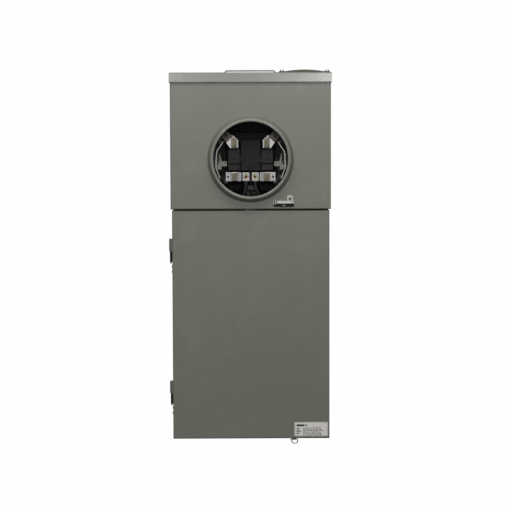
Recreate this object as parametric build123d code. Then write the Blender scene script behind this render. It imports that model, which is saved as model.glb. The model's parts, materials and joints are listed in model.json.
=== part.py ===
from build123d import *
import math
import os

# ---------------------------------------------------------------------------
# Meter socket enclosure with a main breaker below the meter, for an outside wall.
# Millimetres.  +Z up, +X to the right, the front faces -Y, the wall plane is Y = 0.
# The origin is the centre of the four wall-mounting holes on the back of the box.
# ---------------------------------------------------------------------------

# Sheet metal and overall size
SHEET = 1.5                    # 16 gauge steel
BEND = 3.0                     # outside bend radius
HEIGHT = 847.0                 # lower edge of the door to the top of the rain cap
SILL = -416.0                  # lower edge of the door
CAP_TOP = SILL + HEIGHT
BOX_HALF = 179.3               # half the outside width of the box
BOX_FRONT = -112.0             # front edge of the box sides
BOX_LIP = 12.0                 # inward return along the front of the box sides
BOX_BOTTOM = SILL + 4.0
BOX_TOP = CAP_TOP - SHEET
INNER_HALF = BOX_HALF - SHEET

# Wall mounting and knockouts
MOUNT_X = 254.0                # hole spacing across
MOUNT_Z = 711.2                # hole spacing up
MOUNT_HOLE = 4.0               # hole radius
GROOVE = 0.6                   # depth and width of the ring round a knockout

# Rain cap, hanger and hub
CAP_HALF = 186.7
CAP_FRONT = -136.0             # front of the lip at its lower edge
CAP_LEAN = 2.5                 # how far the lip leans out from top to bottom
CAP_BACK = -1.6
CAP_LIP = 23.0
CAP_LIP_Z = CAP_TOP - CAP_LIP
HANGER_HALF = 62.4
HANGER_RISE = 9.8
HANGER_ROD = 1.7               # rod radius
HUB_X = 125.0
HUB_Y = -66.0
HUB_WIDTH = 117.0
HUB_DEPTH = 100.0
HUB_HOLE = 36.0
HUB_PAD = 1.5
HUB_PLATE = 1.6
HUB_SCREW_X = 104.0
HUB_SCREW_Y = 86.0
HUB_DOME = 44.0
HUB_SKIRT = 1.6
HUB_DOME_RISE = 3.6

# Door and its lift-off hinges
DOOR_HALF = 181.5
DOOR_FRONT = -125.0
DOOR_DEPTH = 20.0
DOOR_HEIGHT = 530.8
HINGE_X = -185.4
HINGE_Y = -104.0
HINGE_PIN = 2.3                # pin radius
HINGE_BORE = 2.36
KNUCKLE = 4.0                  # outside radius of the door knuckle
KNUCKLE_LENGTH = 29.0
HINGE_HEIGHTS = (SILL + 436.0, SILL + 104.5)   # where each knuckle sits on its bracket
PIN_DROP = 29.0                # length of the bare pin bracket below the knuckle

# Padlock bail under the door
BAIL_Y = -118.5
BAIL_Z = SILL - 2.3
BAIL_WIRE = 1.2
BAIL_LEFT = 90.0
BAIL_RIGHT = 108.6
BAIL_DROP = 9.6
BAIL_KNUCKLE = 2.1

# Rating label on the door
LABEL_LEFT = 100.0
LABEL_RIGHT = 177.4
LABEL_LOW = SILL + 5.4
LABEL_HIGH = SILL + 38.4
LABEL_THICK = 0.25

# Meter cover and its raised collar
COVER_HALF = 184.5
COVER_FRONT = -131.0
COVER_DEPTH = 20.0
COVER_HEM = 1.0
COVER_BOTTOM = SILL + 533.5
COVER_TOP = SILL + 838.0
METER_Z = SILL + 646.8         # middle of the meter socket
RING_Z = METER_Z + 2.2         # middle of the opening in the cover
METER_BORE = 85.8
COLLAR_RISE = 20.0
COLLAR_CROWN = 92.2
COLLAR_BASE = 99.2
COLLAR_OUTER_BEND = 3.2
COLLAR_INNER_BEND = 2.4

# Seal hasp on the cover
HASP_PIN_X = 57.0
HASP_Y = -135.0
HASP_PIN = 1.4
HASP_BORE = 1.46
HASP_LOW = SILL + 547.0
HASP_HIGH = SILL + 553.0
HASP_RIGHT = 98.8
HASP_EAR_LEFT = 83.5
HASP_EAR_TOP = SILL + 565.0
HASP_HOLE = 3.3
HASP_HOLE_X = 90.3
HASP_HOLE_Z = SILL + 557.2
SLOT_LEFT = 52.0
SLOT_RIGHT = 100.0
SLOT_LOW = SILL + 538.8
SLOT_HIGH = SILL + 545.6

# Rail and barrier between the meter section and the breaker section
RAIL_LOW = SILL + 534.2
RAIL_HIGH = SILL + 547.0

# Meter socket
JAW_X = 37.4
JAW_Z = 39.2
BLOCK_BACK = -46.0
BLOCK_FRONT = -86.0
TERMINAL_FRONT = -116.0
POCKET_BACK = -100.0           # floor of the recess that a jaw stands in
JAW_TIP = -120.0
LUG_X = 10.4
LUG_Y = -104.0
LUG_Z = METER_Z - 38.8
TERMINAL_HALF = 10.2           # half the height of the lower terminals and lugs

# Load cables from the socket to the main breaker
CABLE_R = 4.8
CONDUCTOR_R = 3.9

# Main breaker
BREAKER_HALF = 52.0
BREAKER_LOW = SILL + 335.0
BREAKER_HIGH = SILL + 476.0
BREAKER_BACK = -15.6
BREAKER_FRONT = -97.0
BREAKER_LUG_X = 37.0
BREAKER_LUG_Y = -74.0
HANDLE_Y = -93.0
HANDLE_Z = SILL + 405.0
HANDLE_PIN = 3.0
HANDLE_TIP = -119.0

# Load centre interior below the breaker
PAN_FRONT = -12.0
STRAP_FRONT = -15.2
BASE_HALF = 56.0
BASE_LOW = SILL + 62.0
BASE_HIGH = SILL + 322.0
BASE_FRONT = -40.0
BUS_X = 18.0
SPACE_PITCH = 30.0
SPACE_COUNT = 7
SPACE_FIRST = SILL + 92.0
NEUTRAL_X = 106.0
NEUTRAL_LOW = SILL + 75.0
NEUTRAL_HIGH = SILL + 330.0
BAR_SCREW_PITCH = 12.5
GROUND_X = -150.0
GROUND_LOW = SILL + 90.0
GROUND_HIGH = SILL + 230.0

# Dead front
FRONT_HALF = 176.0
FRONT_BACK = -102.4
FRONT_LOW = SILL + 14.0
FRONT_HIGH = SILL + 521.0
WINDOW_HALF = 34.0
WINDOW_LOW = SILL + 363.0
WINDOW_HIGH = SILL + 447.0


# ---------------------------------------------------------------------------
# Shared shapes
# ---------------------------------------------------------------------------

def slab(x0, x1, y0, y1, z0, z1):
    """A block between two opposite corners."""
    centre = Pos((x0 + x1) / 2, (y0 + y1) / 2, (z0 + z1) / 2)
    return centre * Box(abs(x1 - x0), abs(y1 - y0), abs(z1 - z0))


def rod_x(y, z, radius, x0, x1):
    return Pos((x0 + x1) / 2, y, z) * Rot(0, 90, 0) * Cylinder(radius, abs(x1 - x0))


def rod_y(x, z, radius, y0, y1):
    return Pos(x, (y0 + y1) / 2, z) * Rot(90, 0, 0) * Cylinder(radius, abs(y1 - y0))


def rod_z(x, y, radius, z0, z1):
    return Pos(x, y, (z0 + z1) / 2) * Cylinder(radius, abs(z1 - z0))


def prism_y(points, y0, y1):
    """An outline given in X and Z, drawn out from y0 to y1."""
    flat = Polyline(*[(x, y0, z) for x, z in points], close=True)
    return extrude(make_face(flat), amount=y1 - y0, dir=(0, 1, 0))


def prism_x(points, x0, x1):
    """An outline given in Y and Z, drawn out from x0 to x1."""
    flat = Polyline(*[(x0, y, z) for y, z in points], close=True)
    return extrude(make_face(flat), amount=x1 - x0, dir=(1, 0, 0))


def prism_z(points, z0, z1):
    """An outline given in X and Y, drawn up from z0 to z1."""
    flat = Polyline(*[(x, y, z0) for x, y in points], close=True)
    return extrude(make_face(flat), amount=z1 - z0, dir=(0, 0, 1))


def rounded(shape, axis, radius, where=None):
    """Round the edges of a shape that run along one axis and pass a test on their middle."""
    edges = shape.edges().filter_by(axis)
    if where is not None:
        edges = edges.filter_by(lambda edge: where(edge.center()))
    return fillet(edges, radius)


def ring_y(x, z, radius, y0, y1):
    """The ring pressed into a sheet round a knockout, for a sheet that faces Y."""
    return rod_y(x, z, radius + GROOVE, y0, y1) - rod_y(x, z, radius, y0, y1)


def ring_x(y, z, radius, x0, x1):
    return rod_x(y, z, radius + GROOVE, x0, x1) - rod_x(y, z, radius, x0, x1)


def ring_z(x, y, radius, z0, z1):
    return rod_z(x, y, radius + GROOVE, z0, z1) - rod_z(x, y, radius, z0, z1)


def hex_screw_y(x, z, face, head=4.6, height=2.6, shank=2.2, length=1.4):
    """A hex washer screw whose head sits on a face that looks to -Y."""
    washer = rod_y(x, z, head * 1.2, face - 0.7, face)
    turned = Pos(x, face - height / 2 - 0.6, z) * Rot(90, 0, 0)
    six = turned * extrude(RegularPolygon(head, 6), amount=height / 2, both=True)
    return washer + six + rod_y(x, z, shank, face, face + length)


def hex_screw_z(x, y, face, head=4.2, height=3.6, shank=2.4, length=4.4):
    """A hex washer screw whose head sits on a face that looks up."""
    washer = rod_z(x, y, head * 1.15, face, face + 0.8)
    six = Pos(x, y, face + 0.7) * extrude(RegularPolygon(head, 6), amount=height - 0.7)
    return washer + six + rod_z(x, y, shank, face - length, face)


def set_screw_y(x, z, radius, y0, y1):
    """A headless screw with a hexagon socket in its front end."""
    body = rod_y(x, z, radius, y0, y1)
    socket = Pos(x, y0, z) * Rot(90, 0, 0) * extrude(RegularPolygon(radius * 0.55, 6), amount=4, both=True)
    return chamfer((body - socket).edges().filter_by(GeomType.CIRCLE).group_by(Axis.Y)[0], radius * 0.12)


def save(name, *solids):
    """Write one named piece, or a group of identical ones, to its own file."""
    pieces = []
    for shape in solids:
        pieces.extend(shape.solids())
    body = pieces[0] if len(pieces) == 1 else Compound(pieces)
    export_step(body, os.path.join("parts", name + ".step"))


# ---------------------------------------------------------------------------
# Box
# ---------------------------------------------------------------------------

def enclosure_wrapper():
    """Back and both sides bent from one sheet, with returns along the front."""
    shell = slab(-BOX_HALF, BOX_HALF, BOX_FRONT, 0, BOX_BOTTOM, BOX_TOP)
    shell = rounded(shell, Axis.Z, BEND)
    mouth = BOX_HALF - BOX_LIP
    shell -= slab(-INNER_HALF, INNER_HALF, BOX_FRONT + SHEET, -SHEET, BOX_BOTTOM, BOX_TOP)
    shell -= slab(-mouth, mouth, BOX_FRONT, BOX_FRONT + SHEET, BOX_BOTTOM, BOX_TOP)
    for x in (-MOUNT_X / 2, MOUNT_X / 2):
        for z in (-MOUNT_Z / 2, MOUNT_Z / 2):
            shell -= rod_y(x, z, MOUNT_HOLE, -SHEET, 0)
    for z in (SILL + 60, SILL + 560):
        for radius in (14.0, 22.0):
            shell -= ring_x(-52, z, radius, BOX_HALF - GROOVE, BOX_HALF)
            shell -= ring_x(-52, z, radius, -BOX_HALF, -BOX_HALF + GROOVE)
    for x in (-120, 120):
        for radius in (17.0, 30.0):
            shell -= ring_y(x, SILL + 70, radius, -GROOVE, 0)
    return shell


def hanger_slot():
    """The gap behind the top wall and the cap that the hanger rises through."""
    return slab(-HANGER_HALF - 1, HANGER_HALF + 1, -5.2, 0, BOX_TOP - 20, CAP_TOP)


def hub_screw_places():
    places = []
    for x in (HUB_X - HUB_SCREW_X / 2, HUB_X + HUB_SCREW_X / 2):
        for y in (HUB_Y - HUB_SCREW_Y / 2, HUB_Y + HUB_SCREW_Y / 2):
            places.append((x, y))
    return places


def top_wall():
    """The end wall under the rain cap, with the hub opening and a short front lip."""
    front = BOX_FRONT + SHEET
    wall = slab(-INNER_HALF, INNER_HALF, front, -SHEET, BOX_TOP - SHEET, BOX_TOP)
    wall += slab(-INNER_HALF, INNER_HALF, front, front + SHEET, BOX_TOP - 14, BOX_TOP)
    wall -= hanger_slot()
    wall -= rod_z(HUB_X, HUB_Y, HUB_HOLE, BOX_TOP - SHEET, BOX_TOP)
    return wall


def bottom_wall():
    """The lower end wall, with a front lip and concentric knockouts."""
    front = BOX_FRONT + SHEET
    wall = slab(-INNER_HALF, INNER_HALF, front, -SHEET, BOX_BOTTOM, BOX_BOTTOM + SHEET)
    wall += slab(-INNER_HALF, INNER_HALF, front, front + SHEET, BOX_BOTTOM, BOX_BOTTOM + 14)
    for x, radii in ((-120, (11.0, 17.0)), (0, (22.0, 31.0, 38.0)), (120, (22.0, 31.0))):
        for radius in radii:
            wall -= ring_z(x, -55, radius, BOX_BOTTOM, BOX_BOTTOM + GROOVE)
    return wall


def rain_cap():
    """The hood on top of the box, with lips down the front and the sides."""
    ridge = CAP_FRONT + CAP_LEAN
    outline = [(CAP_FRONT, CAP_LIP_Z), (ridge, CAP_TOP), (CAP_BACK, CAP_TOP), (CAP_BACK, CAP_LIP_Z)]
    cap = prism_x(outline, -CAP_HALF, CAP_HALF)
    top = cap.faces().sort_by(Axis.Z)[-1]
    cap = fillet([edge for edge in top.edges() if edge.center().Y < CAP_BACK - 1], BEND)
    inner = CAP_HALF - SHEET
    hollow = [(CAP_FRONT + SHEET, CAP_LIP_Z), (ridge + SHEET, CAP_TOP - SHEET),
              (CAP_BACK, CAP_TOP - SHEET), (CAP_BACK, CAP_LIP_Z)]
    cap -= prism_x(hollow, -inner, inner)
    cap -= hanger_slot()
    cap -= rod_z(HUB_X, HUB_Y, HUB_HOLE, CAP_TOP - SHEET, CAP_TOP)
    for x, y in hub_screw_places():
        cap -= rod_z(x, y, 2.5, CAP_TOP - SHEET, CAP_TOP)
    return cap


def middle_rail():
    """The cross channel at the front between the meter cover and the door."""
    front = BOX_FRONT + SHEET
    rail = slab(-INNER_HALF, INNER_HALF, front, front + SHEET, RAIL_LOW, RAIL_HIGH)
    rail += slab(-INNER_HALF, INNER_HALF, front, front + 14, RAIL_LOW, RAIL_LOW + SHEET)
    return rail


def section_barrier():
    """The shelf between the two sections, with a window for the cables and the neutral strap."""
    front = BOX_FRONT + 2 * SHEET
    shelf = slab(-INNER_HALF, INNER_HALF, front, -SHEET, RAIL_HIGH - SHEET, RAIL_HIGH)
    shelf -= slab(-50, 50, -100, -58, RAIL_HIGH - SHEET, RAIL_HIGH)
    shelf -= slab(-16, 16, -24, -SHEET, RAIL_HIGH - SHEET, RAIL_HIGH)
    return shelf


def seal_staple():
    """The tab on the rail that comes out through the cover's slot and takes the seal."""
    middle = 76.5
    low = SLOT_LOW + 2.4
    high = SLOT_LOW + 4.4
    tab = slab(middle - 6, middle + 6, -133.0, BOX_FRONT + SHEET, low, high)
    tab = rounded(tab, Axis.Z, 5.5, lambda spot: spot.Y < -130)
    tab -= rod_z(middle, -127.0, 2.6, low, high)
    foot = slab(middle - 6, middle + 6, -112.0, BOX_FRONT + SHEET, low, RAIL_HIGH - 1)
    return tab + foot


def hanger_bracket():
    """A bent rod that stands up behind the cap, for lifting the box, with its foot plate."""
    low = BOX_TOP - 30
    top = CAP_TOP + HANGER_RISE - HANGER_ROD
    y = -SHEET - HANGER_ROD
    foot_x = HANGER_HALF - HANGER_ROD
    shoulder = top - 5.0
    points = [(-foot_x, y, low), (-foot_x, y, shoulder), (-foot_x + 5.0, y, top), (foot_x - 5.0, y, top),
              (foot_x, y, shoulder), (foot_x, y, low)]
    line = FilletPolyline(*points, radius=[5, 3.4, 3.4, 5])
    rod = sweep(Plane(origin=points[0], z_dir=(0, 0, 1)) * Circle(HANGER_ROD), path=line)
    plate = slab(-foot_x - 8, foot_x + 8, y - HANGER_ROD - SHEET, y - HANGER_ROD + 0.4, low, low + 20)
    return rod + rounded(plate, Axis.Y, 4.0)


def hub_pad():
    """The raised seat under the closing plate."""
    pad = slab(HUB_X - HUB_WIDTH / 2, HUB_X + HUB_WIDTH / 2, HUB_Y - HUB_DEPTH / 2,
               HUB_Y + HUB_DEPTH / 2, CAP_TOP, CAP_TOP + HUB_PAD)
    pad = rounded(pad, Axis.Z, 9.0)
    pad -= rod_z(HUB_X, HUB_Y, HUB_HOLE, CAP_TOP, CAP_TOP + HUB_PAD)
    for x, y in hub_screw_places():
        pad -= rod_z(x, y, 2.5, CAP_TOP, CAP_TOP + HUB_PAD)
    return pad


def hub_closing_plate():
    """The plate that shuts the hub opening, with a pressed dome."""
    low = CAP_TOP + HUB_PAD
    high = low + HUB_PLATE
    plate = slab(HUB_X - HUB_WIDTH / 2, HUB_X + HUB_WIDTH / 2, HUB_Y - HUB_DEPTH / 2,
                 HUB_Y + HUB_DEPTH / 2, low, high)
    plate = rounded(plate, Axis.Z, 9.0)
    plate -= rod_z(HUB_X, HUB_Y, HUB_DOME - HUB_PLATE, low, high)
    for x, y in hub_screw_places():
        plate -= rod_z(x, y, 2.5, low, high)
    radius = (HUB_DOME ** 2 + HUB_DOME_RISE ** 2) / (2 * HUB_DOME_RISE)
    shoulder = high + HUB_SKIRT
    stem = rod_z(HUB_X, HUB_Y, HUB_DOME, low, shoulder + HUB_DOME_RISE + 1)
    dome = (Pos(HUB_X, HUB_Y, shoulder + HUB_DOME_RISE - radius) * Sphere(radius)) & stem
    dome = dome + rod_z(HUB_X, HUB_Y, HUB_DOME, low, shoulder)
    inside = (Pos(HUB_X, HUB_Y, shoulder + HUB_DOME_RISE - HUB_PLATE - radius) * Sphere(radius)) & (
        rod_z(HUB_X, HUB_Y, HUB_DOME - HUB_PLATE, low, shoulder + HUB_DOME_RISE))
    inside = inside + rod_z(HUB_X, HUB_Y, HUB_DOME - HUB_PLATE, low, shoulder - HUB_PLATE)
    return plate + (dome - inside)


def hub_screws():
    face = CAP_TOP + HUB_PAD + HUB_PLATE
    return [hex_screw_z(x, y, face) for x, y in hub_screw_places()]


# ---------------------------------------------------------------------------
# Door, its lift-off hinges and the padlock bail
# ---------------------------------------------------------------------------

def door_panel():
    """A pan with flanges on all four sides; the top one is short, to clear the box."""
    back = DOOR_FRONT + DOOR_DEPTH
    pan = slab(-DOOR_HALF, DOOR_HALF, DOOR_FRONT, back, SILL, SILL + DOOR_HEIGHT)
    pan = fillet(pan.faces().sort_by(Axis.Y)[0].edges(), BEND)
    hollow = slab(-DOOR_HALF + SHEET, DOOR_HALF - SHEET, DOOR_FRONT + SHEET, back,
                  SILL + SHEET, SILL + DOOR_HEIGHT - SHEET)
    hollow = fillet(hollow.faces().sort_by(Axis.Y)[0].edges(), BEND - SHEET)
    pan -= hollow
    top = SILL + DOOR_HEIGHT
    return pan - slab(-DOOR_HALF + SHEET, DOOR_HALF - SHEET, BOX_FRONT - 1.5, back, top - SHEET, top)


def door_knuckle(low):
    """A painted strap on the door's flange, rolled into a barrel that drops over the pin."""
    high = low + KNUCKLE_LENGTH
    barrel = rod_z(HINGE_X, HINGE_Y, KNUCKLE, low, high)
    strap = slab(HINGE_X + 2.2, -DOOR_HALF, -122.0, HINGE_Y, low, high)
    knuckle = barrel + strap
    return knuckle - rod_z(HINGE_X, HINGE_Y, HINGE_BORE, low, high - 3)


def hinge_pin_bracket(low):
    """A dark steel leaf on the side of the box, with the upright pin that carries the door."""
    top = low - 0.15
    bottom = low - PIN_DROP
    pin = rod_z(HINGE_X, HINGE_Y, HINGE_PIN, bottom + 4, low + KNUCKLE_LENGTH - 4)
    foot = Pos(HINGE_X, HINGE_Y, bottom + 2) * Cone(1.0, HINGE_PIN, 4)
    web = slab(HINGE_X, -BOX_HALF - 1, HINGE_Y, HINGE_Y + 2.2, bottom + 4, top)
    leaf = slab(-BOX_HALF - 2, -BOX_HALF, HINGE_Y, HINGE_Y + 30, bottom - 26, top)
    leaf = rounded(leaf, Axis.X, 6.0, lambda spot: spot.Y > HINGE_Y + 20)
    for z in hinge_rivet_heights(low):
        leaf -= rod_x(HINGE_Y + 18, z, 2.0, -BOX_HALF - 2, -BOX_HALF)
    return pin + foot + web + leaf


def hinge_rivet_heights(low):
    return (low - 37, low - 49)


def hinge_rivets():
    """Two rivets through each hinge leaf."""
    rivets = []
    for low in HINGE_HEIGHTS:
        for z in hinge_rivet_heights(low):
            shank = rod_x(HINGE_Y + 18, z, 1.95, -BOX_HALF - 2, -BOX_HALF)
            head = rod_x(HINGE_Y + 18, z, 3.4, -BOX_HALF - 4.8, -BOX_HALF - 2)
            head = fillet(head.edges().sort_by(Axis.X)[0], 1.4)
            rivets.append(shank + head)
    return rivets


def rating_label():
    plate = slab(LABEL_LEFT, LABEL_RIGHT, DOOR_FRONT - LABEL_THICK, DOOR_FRONT, LABEL_LOW, LABEL_HIGH)
    return rounded(plate, Axis.Y, 1.5)


def bail_knuckle():
    """The small barrel under the door's lower flange that the bail turns in."""
    left = BAIL_LEFT + 4.2
    right = BAIL_RIGHT - 4.6
    barrel = rod_x(BAIL_Y, BAIL_Z, BAIL_KNUCKLE, left, right)
    tail = slab(left, right, BAIL_Y, BAIL_Y + 10, SILL - 1.2, SILL)
    riser = slab(left, right, BAIL_Y, BAIL_Y + BAIL_KNUCKLE, BAIL_Z, SILL)
    return barrel + tail + riser - rod_x(BAIL_Y, BAIL_Z, BAIL_WIRE + 0.06, left, right)


def latch_bail():
    """A closed wire loop: its top run is the pin, and the padlock goes through the loop."""
    left = BAIL_LEFT + 1.0
    right = BAIL_RIGHT - 1.2
    ring_left = left + 4.4
    low = BAIL_Z - BAIL_DROP
    points = [(left, BAIL_Y, BAIL_Z), (ring_left - 0.6, BAIL_Y, low + 3.4), (ring_left + 1.6, BAIL_Y, low),
              (right - 1.0, BAIL_Y, low), (right, BAIL_Y, low + 5.0), (right, BAIL_Y, BAIL_Z)]
    line = FilletPolyline(*points, radius=[1.3, 2.6, 2.6, 3.2, 3.2, 1.5], close=True)
    section = Plane(origin=((left + right) / 2, BAIL_Y, BAIL_Z), z_dir=(1, 0, 0)) * Circle(BAIL_WIRE)
    return sweep(section, path=line)


# ---------------------------------------------------------------------------
# Meter cover, collar and seal hasp
# ---------------------------------------------------------------------------

def collar():
    """The raised ring round the meter opening, drawn out of the cover's own sheet."""
    front = COVER_FRONT - COLLAR_RISE
    back = COVER_FRONT + SHEET
    slope = (COLLAR_BASE - COLLAR_CROWN) / COLLAR_RISE
    foot = COLLAR_BASE + slope * SHEET
    z = RING_Z
    outside = FilletPolyline((foot, back, z), (COLLAR_CROWN, front, z), (METER_BORE, front, z),
                             (METER_BORE, back, z), radius=[COLLAR_OUTER_BEND, COLLAR_INNER_BEND])
    inside = FilletPolyline((foot - SHEET, back, z), (COLLAR_CROWN - SHEET, front + SHEET, z),
                            (METER_BORE + SHEET, front + SHEET, z), (METER_BORE + SHEET, back, z),
                            radius=[COLLAR_OUTER_BEND - SHEET, COLLAR_INNER_BEND - SHEET])
    ends = [Line((METER_BORE, back, z), (METER_BORE + SHEET, back, z)),
            Line((foot, back, z), (foot - SHEET, back, z))]
    skin = make_face(outside.edges() + inside.edges() + ends)
    return revolve(skin, axis=Axis((0, 0, z), (0, 1, 0)))


def meter_cover():
    """The cover over the meter section: flanges, hemmed sides, collar and the seal slot."""
    back = COVER_FRONT + COVER_DEPTH
    pan = slab(-COVER_HALF, COVER_HALF, COVER_FRONT, back, COVER_BOTTOM, COVER_TOP)
    front_edges = pan.faces().sort_by(Axis.Y)[0].edges()
    pan = fillet(front_edges.sort_by(Axis.Z)[:-1], BEND)
    inner = COVER_HALF - SHEET
    hollow = slab(-inner, inner, COVER_FRONT + SHEET, back, COVER_BOTTOM + SHEET, COVER_TOP)
    pan -= hollow
    pan -= slab(-inner, inner, back - 2.2, back, COVER_BOTTOM, COVER_BOTTOM + SHEET)
    for side in (-1, 1):
        pan += slab(side * inner, side * (inner - COVER_HEM), back - 9, back, COVER_BOTTOM + 4, COVER_TOP)
    pan -= rod_y(0, RING_Z, COLLAR_BASE - 0.8, COVER_FRONT, COVER_FRONT + SHEET)
    pan += collar()
    slot = slab(SLOT_LEFT, SLOT_RIGHT, COVER_FRONT, COVER_FRONT + SHEET, SLOT_LOW, SLOT_HIGH)
    return pan - rounded(slot, Axis.Y, (SLOT_HIGH - SLOT_LOW) / 2 - 0.05)


def hasp_bracket():
    """The two ears on the cover that hold the hasp's upright pin, with the pin."""
    ears = []
    for low, high in ((HASP_LOW - 2.0, HASP_LOW - 0.2), (HASP_HIGH + 0.2, HASP_HIGH + 2.0)):
        ear = slab(HASP_PIN_X - 3.4, HASP_PIN_X + 3.4, HASP_Y - 3.2, COVER_FRONT, low, high)
        ears.append(rounded(ear, Axis.Z, 3.0, lambda spot: spot.Y < HASP_Y))
    pin = rod_z(HASP_PIN_X, HASP_Y, HASP_PIN, HASP_LOW - 2.0, HASP_HIGH + 7.6)
    foot = slab(HASP_PIN_X - 5, HASP_PIN_X - 3.6, COVER_FRONT - 1.2, COVER_FRONT, HASP_LOW - 2, HASP_HIGH + 2)
    foot += slab(HASP_PIN_X - 4.4, HASP_PIN_X + 3.4, COVER_FRONT - 0.9, COVER_FRONT,
                 HASP_LOW - 2, HASP_HIGH + 2)
    return ears[0] + ears[1] + pin + foot


def seal_hasp():
    """The bare strip that turns on the pin, with an upturned ear and the seal hole."""
    back = HASP_Y + 1.3
    barrel = rod_z(HASP_PIN_X, HASP_Y, 2.7, HASP_LOW, HASP_HIGH)
    bar = slab(HASP_PIN_X, HASP_RIGHT, HASP_Y - 0.5, back, HASP_LOW, HASP_HIGH)
    ear = slab(HASP_EAR_LEFT, HASP_RIGHT - 1.2, HASP_Y - 0.5, back, HASP_LOW, HASP_EAR_TOP)
    ear = rounded(ear, Axis.Y, 2.4, lambda spot: spot.Z > HASP_EAR_TOP - 1)
    shelf = slab(HASP_PIN_X + 5, HASP_RIGHT, HASP_Y - 4.5, back, HASP_LOW, HASP_LOW + 1.6)
    hasp = barrel + bar + ear + shelf
    hasp -= rod_z(HASP_PIN_X, HASP_Y, HASP_BORE, HASP_LOW, HASP_HIGH)
    return hasp - rod_y(HASP_HOLE_X, HASP_HOLE_Z, HASP_HOLE, HASP_Y - 1, back)


# ---------------------------------------------------------------------------
# Meter socket
# ---------------------------------------------------------------------------

def socket_bracket():
    """The steel hat section that holds the socket off the back of the box."""
    low = METER_Z - 56
    high = METER_Z + 56
    web = slab(-62, 62, BLOCK_BACK, BLOCK_BACK + 2, low, high)
    for side in (-1, 1):
        web += slab(side * 60, side * 62, BLOCK_BACK, -SHEET, low, high)
        web += slab(side * 60, side * 80, -SHEET - 2, -SHEET, low, high)
        for z in (low + 14, high - 14):
            web -= rod_y(side * 71, z, 2.3, -SHEET - 2, -SHEET)
    return web


def socket_screws():
    """The screws that hold the hat section to the back of the box."""
    screws = []
    for side in (-1, 1):
        for z in (METER_Z - 42, METER_Z + 42):
            screws.append(hex_screw_y(side * 71, z, -SHEET - 2, length=2.0))
    return screws


def insulating_block():
    """The moulded block: a body with cut corners and two lobes, a centre panel and a ridge."""
    outline = [(-44, METER_Z - 58), (44, METER_Z - 58), (60, METER_Z - 42), (60, METER_Z + 44),
               (44, METER_Z + 62), (-44, METER_Z + 62), (-60, METER_Z + 44), (-60, METER_Z - 42)]
    body = prism_y(outline, BLOCK_FRONT, BLOCK_BACK)
    for side in (-1, 1):
        body += rod_y(side * 36, METER_Z - 55, 17, BLOCK_FRONT, BLOCK_BACK)
    panel = slab(-23, 23, BLOCK_FRONT - 18, BLOCK_FRONT, METER_Z - 25, METER_Z + 45)
    panel = chamfer(panel.faces().sort_by(Axis.Y)[0].edges(), 1.2)
    badge = rod_y(0, METER_Z + 1, 3.4, BLOCK_FRONT - 18.5, BLOCK_FRONT - 17)
    badge -= rod_y(0, METER_Z + 1, 2.6, BLOCK_FRONT - 18.5, BLOCK_FRONT - 17.4)
    point = [(-0.9, METER_Z - 58), (0.9, METER_Z - 58), (0.9, METER_Z - 24), (0, METER_Z - 18),
             (-0.9, METER_Z - 24)]
    return body + panel + badge + prism_y(point, BLOCK_FRONT - 32, BLOCK_FRONT)


def jaw_cover(side):
    """The moulded shroud between an upper and a lower jaw, with a screw ear towards the middle."""
    inner = side * 24.2
    outer = side * 52.5
    front = BLOCK_FRONT - 22
    low = METER_Z - 24.6
    split = METER_Z - 10.0
    shroud = slab(inner, outer, front, BLOCK_FRONT, split + 0.8, METER_Z + 24.4)
    shroud = chamfer(shroud.faces().sort_by(Axis.Y)[0].edges(), 1.5)
    lower = slab(inner, outer, front + 1.0, BLOCK_FRONT, low, split - 0.8)
    lower = chamfer(lower.faces().sort_by(Axis.Y)[0].edges(), 1.5)
    neck = slab(inner, outer, front + 5, BLOCK_FRONT, split - 1, split + 1)
    ear = rod_y(side * 24.6, METER_Z + 1.5, 5.8, front, BLOCK_FRONT - 18)
    hole = rod_y(side * 24.4, METER_Z + 1.5, 2.3, front, BLOCK_FRONT - 18)
    notch = prism_y([(side * 35, METER_Z), (side * 41.5, METER_Z), (side * 38, METER_Z + 4.5)],
                    front, front + 4)
    return shroud + lower + neck + ear - hole - notch


def jaw_leaf(x, tip):
    """One leaf of a jaw, rounded off at its front edge."""
    back = POCKET_BACK - 1
    return [(x, back), (x, tip + 1.2), (x + 0.5, tip), (x + 1.2, tip), (x + 1.6, tip + 1.0), (x + 1.6, back)]


def jaw(side, level, height):
    """Two packs of three spring leaves on a foot, open to the front for a meter blade."""
    middle = METER_Z + level * JAW_Z
    low = middle - height / 2
    high = middle + height / 2
    pair = slab(-6.4, 6.4, POCKET_BACK - 2, POCKET_BACK, low, high)
    for bow in (-1, 1):
        for layer in range(3):
            leaf = jaw_leaf(0.5 + 1.95 * layer, JAW_TIP + 1.1 * layer)
            pair += prism_z([(bow * x, y) for x, y in leaf], low, high)
    return Pos(side * JAW_X, 0, 0) * pair


def line_terminal(side):
    """The upper terminal: an aluminium plate cut at 45 degrees, with a jaw pocket and a lug behind."""
    outline = [(28.4, 45.2), (38.1, 54.5), (42.7, 59.2), (59, 46.4), (60.1, 45.2), (46.2, 26.7),
               (32.3, 26.7), (28.4, 27.8)]
    body = prism_y([(side * x, METER_Z + z) for x, z in outline], TERMINAL_FRONT, BLOCK_FRONT)
    body -= slab(side * 30.6, side * 44.2, TERMINAL_FRONT, POCKET_BACK, METER_Z + 26, METER_Z + 52)
    lug_x = side * 57.5
    lug_z = METER_Z + 56.5
    turn = Rot(0, side * 45, 0)
    lug = Pos(lug_x, TERMINAL_FRONT + 17, lug_z) * turn * Box(18, 22, 17)
    bore = Pos(lug_x, TERMINAL_FRONT + 19, lug_z) * turn * Pos(0, 0, 3) * Cylinder(5.2, 13)
    terminal = body + lug - bore
    return terminal - rod_y(lug_x, lug_z, 4.0, TERMINAL_FRONT, TERMINAL_FRONT + 16)


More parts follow.
